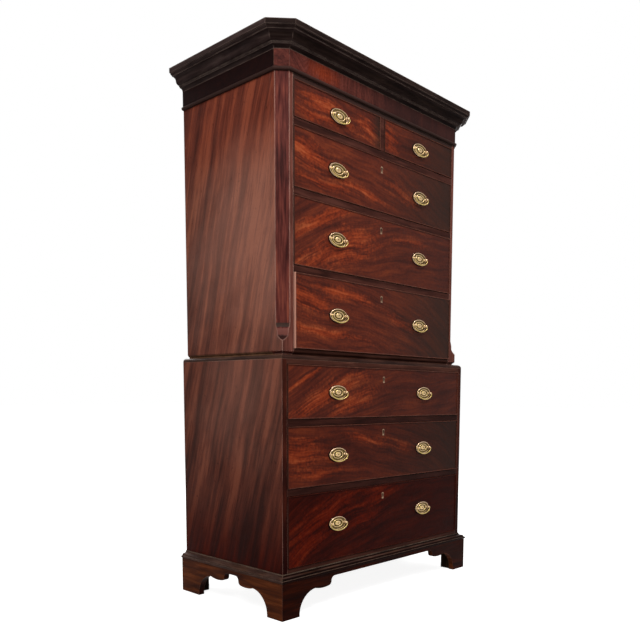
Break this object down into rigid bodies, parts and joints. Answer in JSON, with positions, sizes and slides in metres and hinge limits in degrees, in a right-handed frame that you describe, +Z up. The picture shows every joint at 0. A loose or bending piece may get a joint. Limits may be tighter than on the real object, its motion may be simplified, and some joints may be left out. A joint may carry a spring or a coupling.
{
  "type": "chest on chest",
  "caption": "Two-stage chest of drawers with canted upper corners, a moulded cornice, bracket feet, locks and swinging brass bail pulls.",
  "frame": {"origin": "on the floor, under the middle of the whole object", "axes": "+Z up, -Y out of the drawer fronts, +X to the right of someone facing the drawers"},
  "size_m": [1.082, 0.584, 1.88],
  "materials": {
    "figured_fronts": "polished figured mahogany veneer, old and slightly worn",
    "mahogany_case": "polished mahogany, faded and hazy",
    "dark_mouldings": "dark polished mahogany",
    "oak_linings": "planed oak, unfinished",
    "deal_boards": "rough sawn deal, darkened with age",
    "brass": "aged brass, rubbed bright on the high parts"
  },
  "bodies": {
    "carcass": {"back_boards": "deal_boards", "base_moulding": "dark_mouldings", "bracket_feet": "dark_mouldings", "canted_corners": "mahogany_case", "case_boards": "mahogany_case", "cornice_moulding": "dark_mouldings", "drawer_rails": "mahogany_case", "drawer_runners": "oak_linings", "foot_blocks": "deal_boards", "frieze": "mahogany_case", "lower_side_left": "mahogany_case", "lower_side_right": "mahogany_case", "upper_side_left": "mahogany_case", "upper_side_right": "mahogany_case", "waist_moulding": "dark_mouldings"},
    "lower_drawer_1": {"lower_drawer_1_front": "figured_fronts", "lower_drawer_1_box": "oak_linings", "lower_drawer_1_brasses": "brass"},
    "lower_drawer_1_bail_left": {"lower_drawer_1_bail_left": "brass"},
    "lower_drawer_1_bail_right": {"lower_drawer_1_bail_right": "brass"},
    "lower_drawer_1_bolt": {"lower_drawer_1_bolt": "brass"},
    "lower_drawer_2": {"lower_drawer_2_front": "figured_fronts", "lower_drawer_2_box": "oak_linings", "lower_drawer_2_brasses": "brass"},
    "lower_drawer_2_bail_left": {"lower_drawer_2_bail_left": "brass"},
    "lower_drawer_2_bail_right": {"lower_drawer_2_bail_right": "brass"},
    "lower_drawer_2_bolt": {"lower_drawer_2_bolt": "brass"},
    "lower_drawer_3": {"lower_drawer_3_front": "figured_fronts", "lower_drawer_3_box": "oak_linings", "lower_drawer_3_brasses": "brass"},
    "lower_drawer_3_bail_left": {"lower_drawer_3_bail_left": "brass"},
    "lower_drawer_3_bail_right": {"lower_drawer_3_bail_right": "brass"},
    "lower_drawer_3_bolt": {"lower_drawer_3_bolt": "brass"},
    "upper_drawer_1": {"upper_drawer_1_front": "figured_fronts", "upper_drawer_1_box": "oak_linings", "upper_drawer_1_brasses": "brass"},
    "upper_drawer_1_bail_left": {"upper_drawer_1_bail_left": "brass"},
    "upper_drawer_1_bail_right": {"upper_drawer_1_bail_right": "brass"},
    "upper_drawer_1_bolt": {"upper_drawer_1_bolt": "brass"},
    "upper_drawer_2": {"upper_drawer_2_front": "figured_fronts", "upper_drawer_2_box": "oak_linings", "upper_drawer_2_brasses": "brass"},
    "upper_drawer_2_bail_left": {"upper_drawer_2_bail_left": "brass"},
    "upper_drawer_2_bail_right": {"upper_drawer_2_bail_right": "brass"},
    "upper_drawer_2_bolt": {"upper_drawer_2_bolt": "brass"},
    "upper_drawer_3": {"upper_drawer_3_front": "figured_fronts", "upper_drawer_3_box": "oak_linings", "upper_drawer_3_brasses": "brass"},
    "upper_drawer_3_bail_left": {"upper_drawer_3_bail_left": "brass"},
    "upper_drawer_3_bail_right": {"upper_drawer_3_bail_right": "brass"},
    "upper_drawer_3_bolt": {"upper_drawer_3_bolt": "brass"},
    "short_drawer_left": {"short_drawer_left_front": "figured_fronts", "short_drawer_left_box": "oak_linings", "short_drawer_left_brasses": "brass"},
    "short_drawer_left_bail": {"short_drawer_left_bail": "brass"},
    "short_drawer_right": {"short_drawer_right_front": "figured_fronts", "short_drawer_right_box": "oak_linings", "short_drawer_right_brasses": "brass"},
    "short_drawer_right_bail": {"short_drawer_right_bail": "brass"}
  },
  "joints": [
    {"name": "lower_drawer_1_slide", "type": "slide", "parent": "carcass", "child": "lower_drawer_1", "axis": [0, -1, 0], "range_m": [0, 0.38]},
    {"name": "lower_drawer_1_bail_left_swing", "type": "hinge", "parent": "lower_drawer_1", "child": "lower_drawer_1_bail_left", "pos_m": [-0.245, -0.2644, 0.75025], "axis": [-1, 0, 0], "range_deg": [0, 165]},
    {"name": "lower_drawer_1_bail_right_swing", "type": "hinge", "parent": "lower_drawer_1", "child": "lower_drawer_1_bail_right", "pos_m": [0.245, -0.2644, 0.75025], "axis": [-1, 0, 0], "range_deg": [0, 165]},
    {"name": "lower_drawer_1_bolt_throw", "type": "slide", "parent": "lower_drawer_1", "child": "lower_drawer_1_bolt", "axis": [0, 0, 1], "range_m": [0, 0.008]},
    {"name": "lower_drawer_2_slide", "type": "slide", "parent": "carcass", "child": "lower_drawer_2", "axis": [0, -1, 0], "range_m": [0, 0.38]},
    {"name": "lower_drawer_2_bail_left_swing", "type": "hinge", "parent": "lower_drawer_2", "child": "lower_drawer_2_bail_left", "pos_m": [-0.245, -0.2644, 0.53375], "axis": [-1, 0, 0], "range_deg": [0, 165]},
    {"name": "lower_drawer_2_bail_right_swing", "type": "hinge", "parent": "lower_drawer_2", "child": "lower_drawer_2_bail_right", "pos_m": [0.245, -0.2644, 0.53375], "axis": [-1, 0, 0], "range_deg": [0, 165]},
    {"name": "lower_drawer_2_bolt_throw", "type": "slide", "parent": "lower_drawer_2", "child": "lower_drawer_2_bolt", "axis": [0, 0, 1], "range_m": [0, 0.008]},
    {"name": "lower_drawer_3_slide", "type": "slide", "parent": "carcass", "child": "lower_drawer_3", "axis": [0, -1, 0], "range_m": [0, 0.38]},
    {"name": "lower_drawer_3_bail_left_swing", "type": "hinge", "parent": "lower_drawer_3", "child": "lower_drawer_3_bail_left", "pos_m": [-0.245, -0.2644, 0.29025], "axis": [-1, 0, 0], "range_deg": [0, 165]},
    {"name": "lower_drawer_3_bail_right_swing", "type": "hinge", "parent": "lower_drawer_3", "child": "lower_drawer_3_bail_right", "pos_m": [0.245, -0.2644, 0.29025], "axis": [-1, 0, 0], "range_deg": [0, 165]},
    {"name": "lower_drawer_3_bolt_throw", "type": "slide", "parent": "lower_drawer_3", "child": "lower_drawer_3_bolt", "axis": [0, 0, 1], "range_m": [0, 0.008]},
    {"name": "upper_drawer_1_slide", "type": "slide", "parent": "carcass", "child": "upper_drawer_1", "axis": [0, -1, 0], "range_m": [0, 0.38]},
    {"name": "upper_drawer_1_bail_left_swing", "type": "hinge", "parent": "upper_drawer_1", "child": "upper_drawer_1_bail_left", "pos_m": [-0.229, -0.2444, 1.50125], "axis": [-1, 0, 0], "range_deg": [0, 165]},
    {"name": "upper_drawer_1_bail_right_swing", "type": "hinge", "parent": "upper_drawer_1", "child": "upper_drawer_1_bail_right", "pos_m": [0.229, -0.2444, 1.50125], "axis": [-1, 0, 0], "range_deg": [0, 165]},
    {"name": "upper_drawer_1_bolt_throw", "type": "slide", "parent": "upper_drawer_1", "child": "upper_drawer_1_bolt", "axis": [0, 0, 1], "range_m": [0, 0.008]},
    {"name": "upper_drawer_2_slide", "type": "slide", "parent": "carcass", "child": "upper_drawer_2", "axis": [0, -1, 0], "range_m": [0, 0.38]},
    {"name": "upper_drawer_2_bail_left_swing", "type": "hinge", "parent": "upper_drawer_2", "child": "upper_drawer_2_bail_left", "pos_m": [-0.229, -0.2444, 1.27125], "axis": [-1, 0, 0], "range_deg": [0, 165]},
    {"name": "upper_drawer_2_bail_right_swing", "type": "hinge", "parent": "upper_drawer_2", "child": "upper_drawer_2_bail_right", "pos_m": [0.229, -0.2444, 1.27125], "axis": [-1, 0, 0], "range_deg": [0, 165]},
    {"name": "upper_drawer_2_bolt_throw", "type": "slide", "parent": "upper_drawer_2", "child": "upper_drawer_2_bolt", "axis": [0, 0, 1], "range_m": [0, 0.008]},
    {"name": "upper_drawer_3_slide", "type": "slide", "parent": "carcass", "child": "upper_drawer_3", "axis": [0, -1, 0], "range_m": [-0.005, 0.38]},
    {"name": "upper_drawer_3_bail_left_swing", "type": "hinge", "parent": "upper_drawer_3", "child": "upper_drawer_3_bail_left", "pos_m": [-0.229, -0.2494, 1.01425], "axis": [-1, 0, 0], "range_deg": [0, 165]},
    {"name": "upper_drawer_3_bail_right_swing", "type": "hinge", "parent": "upper_drawer_3", "child": "upper_drawer_3_bail_right", "pos_m": [0.229, -0.2494, 1.01425], "axis": [-1, 0, 0], "range_deg": [0, 165]},
    {"name": "upper_drawer_3_bolt_throw", "type": "slide", "parent": "upper_drawer_3", "child": "upper_drawer_3_bolt", "axis": [0, 0, 1], "range_m": [0, 0.008]},
    {"name": "short_drawer_left_slide", "type": "slide", "parent": "carcass", "child": "short_drawer_left", "axis": [0, -1, 0], "range_m": [0, 0.38]},
    {"name": "short_drawer_left_bail_swing", "type": "hinge", "parent": "short_drawer_left", "child": "short_drawer_left_bail", "pos_m": [-0.22225, -0.2444, 1.67875], "axis": [-1, 0, 0], "range_deg": [0, 165]},
    {"name": "short_drawer_right_slide", "type": "slide", "parent": "carcass", "child": "short_drawer_right", "axis": [0, -1, 0], "range_m": [0, 0.38]},
    {"name": "short_drawer_right_bail_swing", "type": "hinge", "parent": "short_drawer_right", "child": "short_drawer_right_bail", "pos_m": [0.22225, -0.2444, 1.67875], "axis": [-1, 0, 0], "range_deg": [0, 165]}
  ]
}
